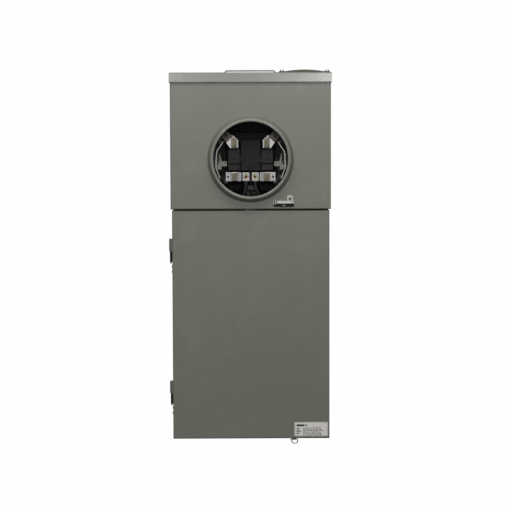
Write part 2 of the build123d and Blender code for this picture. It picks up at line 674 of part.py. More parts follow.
def load_terminal(side):
    """The lower terminal: a ribbed aluminium bar for the jaw, joined low down to the cable lug."""
    low = LUG_Z - TERMINAL_HALF
    high = LUG_Z + TERMINAL_HALF
    bar = slab(side * 22.1, side * 57, TERMINAL_FRONT, BLOCK_FRONT, low, high)
    bar -= slab(side * 30.8, side * 44.0, TERMINAL_FRONT, POCKET_BACK, low, high)
    for x, wide in ((24.6, 0.9), (27.2, 0.9), (29.6, 0.5), (45.6, 0.9), (50.2, 2.4)):
        bar -= slab(side * x, side * (x + wide), TERMINAL_FRONT, TERMINAL_FRONT + 3.0, low, high)
    bar -= rod_y(side * 51.4, LUG_Z, 2.2, TERMINAL_FRONT, TERMINAL_FRONT + 9)
    bridge = slab(side * 18, side * 23, BLOCK_FRONT - 8, BLOCK_FRONT, low + 2, high - 2)
    lug = slab(side * 1.9, side * 19.3, TERMINAL_FRONT, BLOCK_FRONT, low, high)
    lug = chamfer(lug.faces().sort_by(Axis.Y)[0].edges(), 1.0)
    lug -= rod_z(side * LUG_X, LUG_Y, CONDUCTOR_R + 0.4, low, high - 4)
    lug -= rod_y(side * LUG_X, LUG_Z, 5.9, TERMINAL_FRONT, LUG_Y)
    return bar + bridge + lug


def terminal_screws():
    """The four conductor screws of the socket."""
    screws = []
    for side in (-1, 1):
        screws.append(set_screw_y(side * LUG_X, LUG_Z, 5.4, TERMINAL_FRONT + 1.2, LUG_Y - CONDUCTOR_R))
        screws.append(set_screw_y(side * 57.5, METER_Z + 56.5, 3.9, TERMINAL_FRONT + 9.5,
                                  TERMINAL_FRONT + 13.4))
    return screws


def meter_support(side):
    """The steel side bracket: a fin on the block's flank, a tab with a hole and a screwed foot."""
    front = TERMINAL_FRONT - 1
    fin = prism_y([(side * 66, METER_Z - 4), (side * 71, METER_Z - 4), (side * 72.5, METER_Z + 15),
                   (side * 71.2, METER_Z + 15)], front, front + 2)
    tab = slab(side * 67, side * 75, front, front + 2, METER_Z - 22, METER_Z - 3)
    tab += slab(side * 70, side * 79.5, front, front + 2, METER_Z - 20, METER_Z - 12)
    tab -= rod_y(side * 72.3, METER_Z - 6.5, 1.7, front, front + 2)
    web = slab(side * 67, side * 69, front, BLOCK_BACK, METER_Z - 20, METER_Z - 3)
    foot = slab(side * 60.2, side * 69, BLOCK_BACK - 2, BLOCK_BACK, METER_Z - 20, METER_Z - 3)
    plate = slab(side * 54.6, side * 68, front + 3, front + 5, METER_Z - 14.6, METER_Z - 3)
    plate = rounded(plate, Axis.Y, 2.0, lambda spot: abs(spot.X) < 60)
    plate -= rod_y(side * 58, METER_Z - 6.8, 1.6, front + 3, front + 5)
    return fin + tab + web + foot + plate


def support_band(side):
    """The cranked strip that the rim of the meter rests against."""
    turn = [(63.5, 42), (77.6, 21), (79.4, 14), (80.6, -18), (71, -42)]
    outer = [(side * x, METER_Z + z) for x, z in turn]
    inner = [(side * (x - 1.7), METER_Z + z) for x, z in reversed(turn)]
    return prism_y(outer + inner, TERMINAL_FRONT - 12, TERMINAL_FRONT - 1)


def support_bands():
    return [support_band(side) for side in (-1, 1)]


# ---------------------------------------------------------------------------
# Cables from the socket to the main breaker
# ---------------------------------------------------------------------------

def cable_route(side):
    """Centre points of one load cable, from the socket lug down to the breaker lug."""
    foot = BREAKER_HIGH + 7.0
    if side > 0:
        return [(LUG_X, LUG_Y, METER_Z - 53), (LUG_X, LUG_Y, METER_Z - 65), (23, -98, METER_Z - 89),
                (35, -86, METER_Z - 114), (BREAKER_LUG_X, BREAKER_LUG_Y, foot + 22),
                (BREAKER_LUG_X, BREAKER_LUG_Y, foot)]
    return [(-LUG_X, LUG_Y, METER_Z - 53), (-LUG_X, LUG_Y, METER_Z - 67), (-19, -95, METER_Z - 92),
            (-32, -84, METER_Z - 117), (-BREAKER_LUG_X, BREAKER_LUG_Y, foot + 20),
            (-BREAKER_LUG_X, BREAKER_LUG_Y, foot)]


def corner_radii(points):
    """The largest arc at each corner that leaves a tenth of every run straight."""
    runs = [Vector(after) - Vector(before) for before, after in zip(points, points[1:])]
    shares = [0.9] + [0.45] * (len(runs) - 2) + [0.9]
    room = [run.length * share for run, share in zip(runs, shares)]
    radii = []
    for index in range(len(runs) - 1):
        turn = math.radians(runs[index].get_angle(runs[index + 1]))
        radii.append(min(room[index], room[index + 1]) / math.tan(turn / 2))
    return radii


def load_cable(side):
    """The insulated part of one load cable."""
    points = cable_route(side)
    line = FilletPolyline(*points, radius=corner_radii(points))
    start = Plane(origin=line @ 0, z_dir=line % 0)
    return sweep(start * Circle(CABLE_R), path=line)


def bare_conductors():
    """The stripped ends inside the socket lugs and the breaker lugs."""
    ends = []
    for side in (-1, 1):
        ends.append(rod_z(side * LUG_X, LUG_Y, CONDUCTOR_R, METER_Z - 53, LUG_Z + 5))
        ends.append(rod_z(side * BREAKER_LUG_X, BREAKER_LUG_Y, CONDUCTOR_R,
                          BREAKER_HIGH - 16, BREAKER_HIGH + 7.0))
    return ends


def neutral_lug():
    """The neutral connector below the socket."""
    low = METER_Z - 98
    block = slab(-9.5, 9.5, -44, STRAP_FRONT, low, low + 26)
    block = chamfer(block.faces().sort_by(Axis.Y)[0].edges(), 1.5)
    block -= rod_z(0, -32, 5.5, low, low + 26)
    return block


def neutral_strap():
    """The flat bar from the neutral connector down to the two neutral bars."""
    back = PAN_FRONT - 0.2
    strap = slab(-11, 11, STRAP_FRONT, back, NEUTRAL_HIGH - 14, METER_Z - 62)
    strap += slab(-NEUTRAL_X - 6, NEUTRAL_X + 6, STRAP_FRONT, back, NEUTRAL_HIGH - 14, NEUTRAL_HIGH)
    return strap


# ---------------------------------------------------------------------------
# Main breaker
# ---------------------------------------------------------------------------

def breaker_case():
    """The moulded case, with a raised escutcheon and pockets for the lugs and the straps."""
    case = slab(-BREAKER_HALF, BREAKER_HALF, BREAKER_FRONT, BREAKER_BACK, BREAKER_LOW, BREAKER_HIGH)
    case = fillet(case.faces().sort_by(Axis.Y)[0].edges(), 2.5)
    case += slab(-30, 30, BREAKER_FRONT - 7, BREAKER_FRONT + 3, HANDLE_Z - 38, HANDLE_Z + 38)
    for side in (-1, 1):
        case -= slab(side * 24, side * 50, BREAKER_FRONT, -56, BREAKER_HIGH - 28, BREAKER_HIGH)
        case -= slab(side * 8, side * 28, -48, -40.5, BREAKER_LOW, BREAKER_LOW + 18)
    case -= rod_x(HANDLE_Y, HANDLE_Z, 18.5, -11, 11)
    case -= rod_x(HANDLE_Y, HANDLE_Z, HANDLE_PIN + 0.06, -15, 15)
    return case


def breaker_handle():
    """The toggle: a drum on a cross pin with a tapered grip."""
    drum = rod_x(HANDLE_Y, HANDLE_Z, 17.5, -10, 10)
    pin = rod_x(HANDLE_Y, HANDLE_Z, HANDLE_PIN, -14.5, 14.5)
    grip = Pos(0, (HANDLE_TIP + HANDLE_Y) / 2, HANDLE_Z) * Box(18, HANDLE_Y - HANDLE_TIP, 9)
    grip = fillet(grip.faces().sort_by(Axis.Y)[0].edges(), 2.5)
    grip = Pos(0, HANDLE_Y, HANDLE_Z) * Rot(-24, 0, 0) * Pos(0, -HANDLE_Y, -HANDLE_Z) * grip
    return drum + pin + grip


def breaker_line_lugs():
    """The two upper lugs of the breaker."""
    lugs = []
    for side in (-1, 1):
        x = side * BREAKER_LUG_X
        lug = slab(x - 11, x + 11, -84, -58, BREAKER_HIGH - 24, BREAKER_HIGH - 2)
        lug = chamfer(lug.faces().sort_by(Axis.Y)[0].edges(), 1.2)
        lug -= rod_z(x, BREAKER_LUG_Y, CONDUCTOR_R + 0.3, BREAKER_HIGH - 19, BREAKER_HIGH)
        lug -= rod_y(x, BREAKER_HIGH - 12, 5.3, -84, BREAKER_LUG_Y)
        lugs.append(lug)
    return lugs


def breaker_lug_screws():
    screws = []
    for side in (-1, 1):
        x = side * BREAKER_LUG_X
        screws.append(set_screw_y(x, BREAKER_HIGH - 12, 5.2, -86, BREAKER_LUG_Y - CONDUCTOR_R))
    return screws


def breaker_load_straps():
    """The plated straps from the foot of the breaker to the bus bars."""
    straps = []
    for side in (-1, 1):
        strap = slab(side * 10, side * 26, -47.2, -44.2, BREAKER_LOW - 28, BREAKER_LOW + 14)
        straps.append(rounded(strap, Axis.Y, 3.0, lambda spot: spot.Z < BREAKER_LOW - 20))
    return straps


# ---------------------------------------------------------------------------
# Load centre interior
# ---------------------------------------------------------------------------

def interior_pan():
    """The steel hat section under the breaker and the load centre interior."""
    low = SILL + 44
    high = SILL + 506
    pan = slab(-76, 76, PAN_FRONT, PAN_FRONT + SHEET, low, high)
    for side in (-1, 1):
        pan += slab(side * 74.5, side * 76, PAN_FRONT, -SHEET, low, high)
        pan += slab(side * 74.5, side * 90, -2 * SHEET, -SHEET, low, high)
    return pan


def interior_base():
    """The moulded base under the bus bars, with a wall down its middle."""
    base = slab(-BASE_HALF, BASE_HALF, BASE_FRONT, STRAP_FRONT - 0.3, BASE_LOW, BASE_HIGH)
    base = fillet(base.faces().sort_by(Axis.Y)[0].edges(), 2.0)
    base += slab(-2, 2, BASE_FRONT - 14, BASE_FRONT + 1, BASE_LOW + 4, BASE_HIGH - 20)
    for side in (-1, 1):
        for step in range(SPACE_COUNT):
            z = SPACE_FIRST + SPACE_PITCH * step
            base += slab(side * 44, side * 54, BASE_FRONT - 5, BASE_FRONT + 1, z - 8, z + 8)
    return base


def bus_bar(side):
    """One plated bus bar with its row of breaker stabs."""
    bar = slab(side * (BUS_X - 9), side * (BUS_X + 9), BASE_FRONT - 4, BASE_FRONT,
               BASE_LOW + 8, BREAKER_LOW - 2)
    for step in range(SPACE_COUNT):
        z = SPACE_FIRST + SPACE_PITCH * step
        stab = slab(side * 14, side * 17.2, BASE_FRONT - 20, BASE_FRONT - 3, z - 8, z + 8)
        bar += chamfer(stab.faces().sort_by(Axis.Y)[0].edges().filter_by(Axis.Z), 0.8)
    return bar


def bar_screw_heights(low, high):
    count = int((high - low - 20) / BAR_SCREW_PITCH)
    return [low + 12 + BAR_SCREW_PITCH * step for step in range(count)]


def terminal_bar(x, back, low, high):
    """A drilled aluminium bar with a row of wire screws."""
    bar = slab(x - 6, x + 6, back - 11, back, low, high)
    for z in bar_screw_heights(low, high):
        bar -= rod_y(x, z, 2.5, back - 11, back - 4)
        bar -= rod_x(back - 5.5, z, 2.4, x - 6, x + 6)
    return bar


def bar_screws(x, back, low, high):
    screws = []
    for z in bar_screw_heights(low, high):
        screw = rod_y(x, z, 2.4, back - 9.5, back - 8) + rod_y(x, z, 3.6, back - 12.8, back - 11)
        screw += rod_y(x, z, 2.4, back - 11, back - 9.5)
        screws.append(screw - slab(x - 3.6, x + 3.6, back - 12.8, back - 12, z - 0.5, z + 0.5))
    return screws


def neutral_bar(side):
    return terminal_bar(side * NEUTRAL_X, STRAP_FRONT, NEUTRAL_LOW, NEUTRAL_HIGH)


def neutral_standoffs():
    """The moulded feet that keep the neutral bars off the box."""
    feet = []
    for side in (-1, 1):
        for z in (NEUTRAL_LOW + 8, NEUTRAL_HIGH - 30):
            x = side * NEUTRAL_X
            foot = slab(x - 9, x + 9, STRAP_FRONT, -SHEET, z - 9, z + 9)
            feet.append(rounded(foot, Axis.Y, 3.0))
    return feet


def ground_bar():
    return terminal_bar(GROUND_X, -SHEET, GROUND_LOW, GROUND_HIGH)


def wire_screws():
    """The wire screws of the two neutral bars and the ground bar."""
    screws = bar_screws(GROUND_X, -SHEET, GROUND_LOW, GROUND_HIGH)
    for side in (-1, 1):
        screws += bar_screws(side * NEUTRAL_X, STRAP_FRONT, NEUTRAL_LOW, NEUTRAL_HIGH)
    return screws


# ---------------------------------------------------------------------------
# Dead front
# ---------------------------------------------------------------------------

def space_openings():
    """The middle of each branch breaker opening in the dead front."""
    places = []
    for side in (-1, 1):
        for step in range(SPACE_COUNT):
            places.append((side * 35.0, SPACE_FIRST + SPACE_PITCH * step))
    return places


def dead_front_screw_places():
    return [(x, z) for x in (-150, 150) for z in (FRONT_LOW + 14, FRONT_HIGH - 14)]


def dead_front():
    """The inner cover, with a window for the breaker and openings for branch breakers."""
    front = FRONT_BACK - SHEET
    sheet = slab(-FRONT_HALF, FRONT_HALF, front, FRONT_BACK, FRONT_LOW, FRONT_HIGH)
    sheet -= slab(-WINDOW_HALF, WINDOW_HALF, front, FRONT_BACK, WINDOW_LOW, WINDOW_HIGH)
    for x, z in space_openings():
        sheet -= slab(x - 27, x + 27, front, FRONT_BACK, z - 11, z + 11)
    for x, z in dead_front_screw_places():
        sheet -= rod_y(x, z, 2.4, front, FRONT_BACK)
    for side in (-1, 1):
        sheet += slab(side * (FRONT_HALF - SHEET), side * FRONT_HALF, front, FRONT_BACK + 16,
                      FRONT_LOW, FRONT_HIGH)
    return sheet


def twist_outs():
    """The slugs left in the unused branch breaker openings, each on two tabs."""
    front = FRONT_BACK - SHEET
    slugs = []
    for x, z in space_openings():
        slug = slab(x - 26.4, x + 26.4, front, FRONT_BACK, z - 10.4, z + 10.4)
        slug += slab(x - 3, x + 3, front + 0.3, FRONT_BACK - 0.3, z - 11, z + 11)
        slugs.append(slug)
    return slugs


def dead_front_screws():
    front = FRONT_BACK - SHEET
    return [hex_screw_y(x, z, front) for x, z in dead_front_screw_places()]


# ---------------------------------------------------------------------------
# Every piece in its own file
# ---------------------------------------------------------------------------

def main():
    os.makedirs("parts", exist_ok=True)
    save("enclosure_wrapper", enclosure_wrapper())
    save("top_wall", top_wall())
    save("bottom_wall", bottom_wall())
    save("rain_cap", rain_cap())
    save("middle_rail", middle_rail())
    save("section_barrier", section_barrier())
    save("seal_staple", seal_staple())
    save("hanger_bracket", hanger_bracket())
    save("hub_pad", hub_pad())
    save("hub_closing_plate", hub_closing_plate())
    save("hub_screws", *hub_screws())
    save("door_panel", door_panel())
    save("door_knuckles", *[door_knuckle(low) for low in HINGE_HEIGHTS])
    save("hinge_pin_brackets", *[hinge_pin_bracket(low) for low in HINGE_HEIGHTS])
    save("hinge_rivets", *hinge_rivets())
    save("rating_label", rating_label())
    save("bail_knuckle", bail_knuckle())
    save("latch_bail", latch_bail())
    save("meter_cover", meter_cover())
    save("hasp_bracket", hasp_bracket())
    save("seal_hasp", seal_hasp())
    save("socket_bracket", socket_bracket())
    save("socket_screws", *socket_screws())
    save("insulating_block", insulating_block())
    for word, side in (("left", -1), ("right", 1)):
        save("jaw_cover_" + word, jaw_cover(side))
        save("line_jaw_" + word, jaw(side, 1, 18.4))
        save("load_jaw_" + word, jaw(side, -1, 18.0))
        save("line_terminal_" + word, line_terminal(side))
        save("load_terminal_" + word, load_terminal(side))
        save("meter_support_" + word, meter_support(side))
        save("load_cable_" + word, load_cable(side))
        save("bus_bar_" + word, bus_bar(side))
        save("neutral_bar_" + word, neutral_bar(side))
    save("support_bands", *support_bands())
    save("terminal_screws", *terminal_screws())
    save("bare_conductors", *bare_conductors())
    save("neutral_lug", neutral_lug())
    save("neutral_strap", neutral_strap())
    save("breaker_case", breaker_case())
    save("breaker_handle", breaker_handle())
    save("breaker_line_lugs", *breaker_line_lugs())
    save("breaker_lug_screws", *breaker_lug_screws())
    save("breaker_load_straps", *breaker_load_straps())
    save("interior_pan", interior_pan())
    save("interior_base", interior_base())
    save("neutral_standoffs", *neutral_standoffs())
    save("ground_bar", ground_bar())
    save("wire_screws", *wire_screws())
    save("dead_front", dead_front())
    save("twist_outs", *twist_outs())
    save("dead_front_screws", *dead_front_screws())


main()
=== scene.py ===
import json
import math
import random

import bmesh
import bpy
from mathutils import Matrix, Vector


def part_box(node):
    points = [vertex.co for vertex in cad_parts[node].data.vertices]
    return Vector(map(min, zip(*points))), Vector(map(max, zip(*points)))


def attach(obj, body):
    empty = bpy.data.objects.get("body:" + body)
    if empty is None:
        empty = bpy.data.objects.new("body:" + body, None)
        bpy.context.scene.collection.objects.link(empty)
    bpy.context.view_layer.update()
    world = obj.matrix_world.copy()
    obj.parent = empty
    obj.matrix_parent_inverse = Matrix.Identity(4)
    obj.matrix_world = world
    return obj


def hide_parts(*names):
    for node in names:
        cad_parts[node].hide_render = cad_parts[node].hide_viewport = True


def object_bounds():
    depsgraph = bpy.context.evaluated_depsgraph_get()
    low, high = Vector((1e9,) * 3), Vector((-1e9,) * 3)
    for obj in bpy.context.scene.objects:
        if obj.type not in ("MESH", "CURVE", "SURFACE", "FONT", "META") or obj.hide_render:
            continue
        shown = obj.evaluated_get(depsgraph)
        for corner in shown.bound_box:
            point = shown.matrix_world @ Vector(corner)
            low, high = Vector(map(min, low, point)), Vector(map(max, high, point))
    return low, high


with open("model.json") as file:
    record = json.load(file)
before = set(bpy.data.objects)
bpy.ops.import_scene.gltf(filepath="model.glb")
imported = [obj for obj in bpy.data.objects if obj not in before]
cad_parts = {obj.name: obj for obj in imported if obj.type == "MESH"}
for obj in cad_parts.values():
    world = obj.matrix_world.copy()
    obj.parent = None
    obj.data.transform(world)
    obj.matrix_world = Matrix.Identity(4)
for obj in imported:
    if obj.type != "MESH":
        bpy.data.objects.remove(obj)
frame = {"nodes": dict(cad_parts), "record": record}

# Meter socket enclosure with a main breaker section: the visual model around the CAD frame.
# Metres.  +Z up, +X right, the front faces -Y, the wall plane is Y = 0.

RING_Z = 0.2330                # height of the middle of the meter opening
BORE_R = 0.0858                # radius of the meter opening
UPPER_FLOOR_Z = 0.13           # floor of the upper section, inside the box
INNER_SKIN = 0.0008             # half a sheet: faces further in than this are inside the box
SHADE_REACH = 0.0655           # from the middle of the opening out to where painted shade darkens a line terminal
LUG_SHADE_Z = 0.1410           # height above which the neutral lug gets painted shade
BLOCK_SHADE_Y = -0.104         # depth behind which the insulating block gets painted shade, nearly black
HUB_DOME_R = 0.044             # radius of the dome of the hub plate, which gets a painted reflection
CAD_BOX = [[float(v) for v in corner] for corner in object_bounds()]
NODES = frame["nodes"]


# ---------------------------------------------------------------------------
# Node materials
# ---------------------------------------------------------------------------

class Shader:
    """A material under construction: a Principled shader and short calls that add nodes to it."""

    def __init__(self, name, metallic=0.0, specular=0.5, coat=0.0, coat_roughness=0.2):
        self.material = bpy.data.materials.new(name)
        self.material.use_nodes = True
        self.tree = self.material.node_tree
        self.tree.nodes.clear()
        self.bsdf = self.tree.nodes.new("ShaderNodeBsdfPrincipled")
        out = self.tree.nodes.new("ShaderNodeOutputMaterial")
        self.tree.links.new(self.bsdf.outputs[0], out.inputs[0])
        levels = {"Metallic": metallic, "IOR": 1.5, "Specular IOR Level": specular,
                  "Coat Weight": coat, "Coat Roughness": coat_roughness}
        for socket, level in levels.items():
            self.bsdf.inputs[socket].default_value = level
        coords = self.tree.nodes.new("ShaderNodeTexCoord")
        self.place = coords.outputs["Object"]

    def node(self, kind, inputs=None, **settings):
        """A node with its settings, and each input linked to a socket or set to a value."""
        made = self.tree.nodes.new(kind)
        for key, value in settings.items():
            setattr(made, key, value)
        for key, value in (inputs or {}).items():
            if isinstance(value, bpy.types.NodeSocket):
                self.tree.links.new(value, made.inputs[key])
            else:
                made.inputs[key].default_value = value
        return made

    def link(self, value, socket):
        self.tree.links.new(value, self.bsdf.inputs[socket])

    def axes(self):
        return self.node("ShaderNodeSeparateXYZ", {0: self.place}).outputs

    def vector_math(self, operation, first, second=(0.0, 0.0, 0.0)):
        return self.node("ShaderNodeVectorMath", {0: first, 1: second}, operation=operation).outputs

    def scaled(self, x, y, z):
        """The object's own coordinates, stretched along each axis."""
        made = self.node("ShaderNodeMapping", {"Vector": self.place, "Scale": (x, y, z)})
        return made.outputs[0]

    def noise(self, scale, detail=2.0, roughness=0.5, vector=None, distortion=0.0):
        made = self.node("ShaderNodeTexNoise", {"Vector": vector or self.place, "Scale": scale,
                                                "Detail": detail, "Roughness": roughness,
                                                "Distortion": distortion})
        return made.outputs["Fac"]

    def range(self, value, low, high, to_low, to_high):
        made = self.node("ShaderNodeMapRange", {0: value, 1: low, 2: high, 3: to_low, 4: to_high})
        return made.outputs[0]

    def math(self, operation, first, second=0.0):
        return self.node("ShaderNodeMath", {0: first, 1: second}, operation=operation).outputs[0]

    def mix(self, fac, first, second):
        """One colour fading into another; each is a socket or three numbers."""
        made = self.node("ShaderNodeMix", {0: fac}, data_type="RGBA")
        for index, value in ((6, first), (7, second)):
            if isinstance(value, bpy.types.NodeSocket):
                self.tree.links.new(value, made.inputs[index])
            else:
                made.inputs[index].default_value = (*value, 1.0)
        return made.outputs[2]

    def edge(self, radius):
        """How near a point is to a sharp edge, from 0 to 1, and a normal that rounds that edge."""
        bevel = self.node("ShaderNodeBevel", {"Radius": radius}, samples=4).outputs[0]
        true = self.node("ShaderNodeNewGeometry").outputs["Normal"]
        facing = self.vector_math("DOT_PRODUCT", bevel, true)["Value"]
        return self.range(facing, 0.998, 0.90, 0.0, 1.0), bevel

    def bump(self, height, distance, strength=1.0, under=None):
        made = self.node("ShaderNodeBump", {"Height": height, "Distance": distance, "Strength": strength})
        if under is not None:
            self.tree.links.new(under, made.inputs["Normal"])
        return made.outputs[0]


def tinted(colour, factor):
    return tuple(channel * factor for channel in colour)


def enamel(name="enamel", base=(0.128, 0.132, 0.105), rough=0.42, inner=None):
    """Satin grey-green enamel: soft mottling, fine speckle, orange peel, dust and thin edges.

    With inner, a half width and a floor height, the faces inside and above them get painted shade: a
    near-black colour without coat, for the shade deep in the box.
    """
    gloss = 0.62
    s = Shader(name, coat=gloss)
    mottle = s.range(s.noise(4.0, 3.0, 0.55), 0.3, 0.7, 0.0, 1.0)
    body = s.mix(mottle, tinted(base, 0.95), tinted(base, 1.05))
    speck = s.range(s.noise(1500.0, 2.0), 0.42, 0.62, 0.0, 0.14)
    body = s.mix(speck, body, tinted(base, 1.3))
    dust = s.noise(11.0, 5.0, 0.62, distortion=0.8)
    body = s.mix(s.range(dust, 0.56, 0.80, 0.0, 0.22), body, (0.235, 0.232, 0.205))
    streak = s.noise(1.0, 4.0, 0.6, vector=s.scaled(60.0, 60.0, 2.2))
    body = s.mix(s.range(streak, 0.55, 0.8, 0.0, 0.08), body, (0.21, 0.205, 0.18))
    edge, normal = s.edge(0.0007)
    broken = s.math("MULTIPLY", edge, s.range(s.noise(210.0, 4.0, 0.6), 0.42, 0.62, 0.0, 0.30))
    body = s.mix(broken, body, (0.36, 0.36, 0.33))
    if inner:
        half_width, floor = inner
        axes = s.axes()
        across = s.math("LESS_THAN", s.math("ABSOLUTE", axes["X"]), half_width)
        inside = s.math("MULTIPLY", across, s.math("LESS_THAN", axes["Y"], -INNER_SKIN))
        inside = s.math("MULTIPLY", inside, s.math("GREATER_THAN", axes["Z"], floor))
        # Painted shade: the inside of the upper section is near black, for the shade deep in the box.
        painted_shade = s.mix(s.range(dust, 0.35, 0.7, 0.0, 1.0), (0.030, 0.031, 0.026), (0.048, 0.049, 0.041))
        body = s.mix(inside, body, painted_shade)
        s.link(s.math("MULTIPLY", s.math("SUBTRACT", 1.0, inside), gloss), "Coat Weight")
    s.link(body, "Base Color")
    s.link(s.range(s.noise(38.0, 4.0), 0.3, 0.7, rough - 0.05, rough + 0.06), "Roughness")
    fine = s.bump(s.noise(2600.0, 1.0), 0.00003, 0.35, normal)
    s.link(s.bump(s.noise(420.0, 2.0, 0.45), 0.00005, 0.5, fine), "Normal")
    return s.material


def zinc(name="zinc", colour=(0.50, 0.485, 0.465), rough=0.36):
    """Zinc plating: faint spangle, drawn lines, dull patches and bright edges."""
    s = Shader(name, metallic=1.0)
    patch = s.noise(90.0, 4.0, 0.6)
    body = s.mix(s.range(patch, 0.35, 0.7, 0.0, 1.0), tinted(colour, 0.70), colour)
    edge, normal = s.edge(0.0004)
    body = s.mix(s.math("MULTIPLY", edge, 0.5), body, (0.70, 0.68, 0.66))
    s.link(body, "Base Color")
    s.link(s.range(s.noise(260.0, 3.0), 0.3, 0.7, rough - 0.08, rough + 0.12), "Roughness")
    lines = s.noise(1.0, 3.0, 0.6, vector=s.scaled(300.0, 3000.0, 3000.0))
    s.link(s.bump(lines, 0.00003, 0.5, normal), "Normal")
    return s.material


def extruded(name="extruded_aluminium", colour=(0.50, 0.50, 0.495), stain_and_shade=None):
    """Extruded aluminium: die lines along the bar, saw marks, oxide patches and soft edges.

    Given a slope over the distance from the middle, a slope over the height and a limit, the
    metal where the two add up to more than the limit gets painted shade: dark brown, for the shade deep
    in the box.
    """
    s = Shader(name, metallic=1.0)
    lines = s.noise(1.0, 3.0, 0.65, vector=s.scaled(2600.0, 2600.0, 120.0))
    dull = s.noise(120.0, 3.0, 0.5)
    body = s.mix(s.range(dull, 0.3, 0.72, 0.0, 1.0), tinted(colour, 0.72), colour)
    # Painted shade: dark brown past the limit, for the shade that falls deep in the box.
    if stain_and_shade:
        across, upward, limit = stain_and_shade
        axes = s.axes()
        out = s.math("MULTIPLY", s.math("ABSOLUTE", axes["X"]), across)
        along = s.math("ADD", out, s.math("MULTIPLY", axes["Z"], upward))
        ragged = s.math("ADD", along, s.range(dull, 0.3, 0.7, -0.0008, 0.0008))
        shaded_area = s.range(ragged, limit, limit + 0.0012, 0.0, 0.95)
        body = s.mix(shaded_area, body, (0.040, 0.033, 0.027))
    s.link(body, "Base Color")
    s.link(s.range(lines, 0.3, 0.7, 0.24, 0.42), "Roughness")
    normal = s.edge(0.0005)[1]
    s.link(s.bump(lines, 0.00004, 0.6, normal), "Normal")
    return s.material


def tinned(name="tinned_copper", colour=(0.50, 0.455, 0.36)):
    """Tin-plated copper gone slightly warm, with darker heat marks and stamped ribs."""
    s = Shader(name, metallic=1.0)
    warm = s.noise(140.0, 3.0, 0.55)
    s.link(s.mix(s.range(warm, 0.35, 0.7, 0.0, 1.0), (0.40, 0.35, 0.26), colour), "Base Color")
    s.link(s.range(s.noise(700.0, 2.0), 0.3, 0.7, 0.26, 0.44), "Roughness")
    normal = s.edge(0.0003)[1]
    s.link(s.bump(s.noise(1800.0, 2.0), 0.00002, 0.5, normal), "Normal")
    return s.material


def brass(name="yellow_brass"):
    """Yellow brass with brown tarnish in patches and rubbed edges."""
    s = Shader(name, metallic=1.0)
    stain_and_shade = s.noise(420.0, 4.0, 0.6)
    body = s.mix(s.range(stain_and_shade, 0.35, 0.7, 0.0, 1.0), (0.46, 0.34, 0.18), (0.80, 0.67, 0.43))
    edge, normal = s.edge(0.0003)
    s.link(s.mix(s.math("MULTIPLY", edge, 0.6), body, (0.88, 0.78, 0.55)), "Base Color")
    s.link(s.range(stain_and_shade, 0.3, 0.7, 0.24, 0.40), "Roughness")
    s.link(s.bump(s.noise(2200.0, 2.0), 0.00002, 0.5, normal), "Normal")
    return s.material


def strand_metal(name="bare_strand"):
    """Bare strand with a dull oxide and bright rubbed ridges."""
    s = Shader(name, metallic=1.0)
    oxide = s.noise(600.0, 4.0, 0.6)
    body = s.mix(s.range(oxide, 0.35, 0.7, 0.0, 1.0), (0.44, 0.43, 0.40), (0.78, 0.77, 0.73))
    s.link(body, "Base Color")
    s.link(s.range(oxide, 0.3, 0.7, 0.26, 0.46), "Roughness")
    lines = s.noise(1.0, 2.0, 0.5, vector=s.scaled(3000.0, 3000.0, 200.0))
    s.link(s.bump(lines, 0.00002, 0.5), "Normal")
    return s.material


def moulding(name="black_moulding", base=(0.0075, 0.0073, 0.007), rough=0.52, specular=0.22, deep=None):
    """Black moulded insulation: a faint flow pattern, fine texture, pale dust and worn edges.

    With deep, a depth, the surfaces behind it get painted shade: nearly black, for the shade deep in the
    box.
    """
    s = Shader(name, specular=specular)
    flow = s.noise(24.0, 4.0, 0.6, distortion=0.6)
    light = tuple(channel * 1.6 + 0.002 for channel in base)
    body = s.mix(s.range(flow, 0.3, 0.75, 0.0, 1.0), base, light)
    dust = s.range(s.noise(900.0, 3.0), 0.6, 0.8, 0.0, 0.08)
    body = s.mix(dust, body, (0.16, 0.155, 0.14))
    if deep:
        # Painted shade: nearly black behind the given depth.
        behind = s.range(s.axes()["Y"], deep, deep + 0.006, 0.0, 0.9)
        body = s.mix(behind, body, (0.0030, 0.0030, 0.0028))
    edge, normal = s.edge(0.0006)
    s.link(s.mix(s.math("MULTIPLY", edge, 0.16), body, (0.17, 0.165, 0.155)), "Base Color")
    s.link(s.range(s.noise(300.0, 3.0), 0.3, 0.7, rough - 0.07, rough + 0.12), "Roughness")
    s.link(s.bump(s.noise(1700.0, 3.0), 0.00005, 0.5, normal), "Normal")
    return s.material


def dark_steel(name="dark_steel"):
    """Oxidised steel: nearly black, brown where the finish is thin."""
    s = Shader(name, metallic=0.75)
    rust = s.noise(160.0, 5.0, 0.65)
    body = s.mix(s.range(rust, 0.45, 0.7, 0.0, 1.0), (0.020, 0.016, 0.012), (0.075, 0.042, 0.018))
    edge, normal = s.edge(0.0005)
    s.link(s.mix(s.math("MULTIPLY", edge, 0.35), body, (0.20, 0.15, 0.10)), "Base Color")
    s.link(s.range(rust, 0.3, 0.7, 0.34, 0.62), "Roughness")
    s.link(s.bump(s.noise(1300.0, 3.0), 0.00006, 0.6, normal), "Normal")
    return s.material


